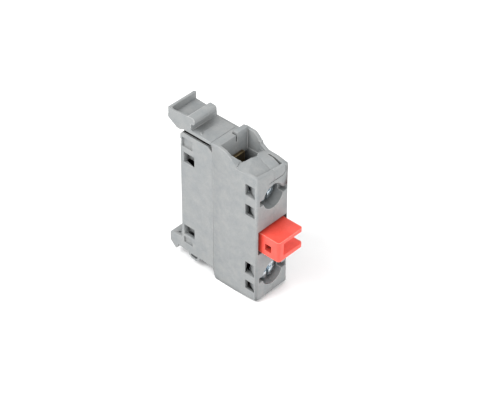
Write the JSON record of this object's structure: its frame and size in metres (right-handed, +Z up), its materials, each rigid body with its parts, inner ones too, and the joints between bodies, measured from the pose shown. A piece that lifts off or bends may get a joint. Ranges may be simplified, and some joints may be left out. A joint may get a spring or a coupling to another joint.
{
  "type": "push button contact block",
  "caption": "Slim contact block of a modular industrial push button, with latch, hook, through plunger and screw terminals.",
  "frame": {"origin": "under the middle of the block's box, on its lowest face", "axes": "+X out of the front terminal face along the plunger, +Y across the block from the housing shell to the cover shell, +Z up towards the latch"},
  "size_m": [0.0316, 0.01, 0.0412],
  "materials": {
    "shell_grey": "fine moulded texture",
    "plunger_red": "semi-gloss",
    "brass": "stamped",
    "silver": "dull silver alloy",
    "zinc": "zinc plated",
    "spring_steel": "drawn wire"
  },
  "bodies": {
    "housing": {"housing_shell": "shell_grey", "cover_shell": "shell_grey", "upper_fixed_contact": "brass", "upper_contact_tip": "silver", "upper_terminal_nut": "zinc", "lower_fixed_contact": "brass", "lower_contact_tip": "silver", "lower_terminal_nut": "zinc", "contact_spring": "spring_steel", "return_spring": "spring_steel"},
    "plunger": {"plunger": "plunger_red"},
    "bridge": {"contact_bridge": "brass", "bridge_contact_tips": "silver"},
    "latch": {"release_latch": "shell_grey"},
    "upper_clamp": {"upper_clamp_plate": "zinc", "upper_lock_washer": "spring_steel"},
    "upper_screw": {"upper_terminal_screw": "zinc"},
    "lower_clamp": {"lower_clamp_plate": "zinc", "lower_lock_washer": "spring_steel"},
    "lower_screw": {"lower_terminal_screw": "zinc"}
  },
  "joints": [
    {"name": "plunger_slide", "type": "slide", "parent": "housing", "child": "plunger", "axis": [1, 0, 0], "range_m": [0, 0.005], "stiffness_N_per_m": 200, "springref_m": -0.003, "deforming": ["return_spring"]},
    {"name": "bridge_lift", "type": "slide", "parent": "housing", "child": "bridge", "axis": [1, 0, 0], "range_m": [0, 0.0035], "stiffness_N_per_m": 250, "springref_m": -0.002, "deforming": ["contact_spring"]},
    {"name": "latch_flex", "type": "hinge", "parent": "housing", "child": "latch", "pos_m": [-0.0027, -0.0011, 0.0373], "axis": [0, 1, 0], "range_deg": [0, 5], "stiffness_Nm_per_rad": 0.3},
    {"name": "upper_clamp_slide", "type": "slide", "parent": "housing", "child": "upper_clamp", "axis": [1, 0, 0], "range_m": [-0.0026, 0.001]},
    {"name": "upper_screw_turn", "type": "hinge", "parent": "upper_clamp", "child": "upper_screw", "pos_m": [0.0085, 0.0002, 0.02745], "axis": [1, 0, 0], "range_deg": [-1872, 720]},
    {"name": "lower_clamp_slide", "type": "slide", "parent": "housing", "child": "lower_clamp", "axis": [1, 0, 0], "range_m": [-0.0033, 0.0003]},
    {"name": "lower_screw_turn", "type": "hinge", "parent": "lower_clamp", "child": "lower_screw", "pos_m": [0.0092, 0.0002, 0.00605], "axis": [1, 0, 0], "range_deg": [-2376, 216]}
  ],
  "couplings": [
    {"joint": "bridge_lift", "follows": "plunger_slide", "ratio": 0.7},
    {"joint": "upper_screw_turn", "follows": "upper_clamp_slide", "rad_per_m": 12566},
    {"joint": "lower_screw_turn", "follows": "lower_clamp_slide", "rad_per_m": 12566}
  ]
}
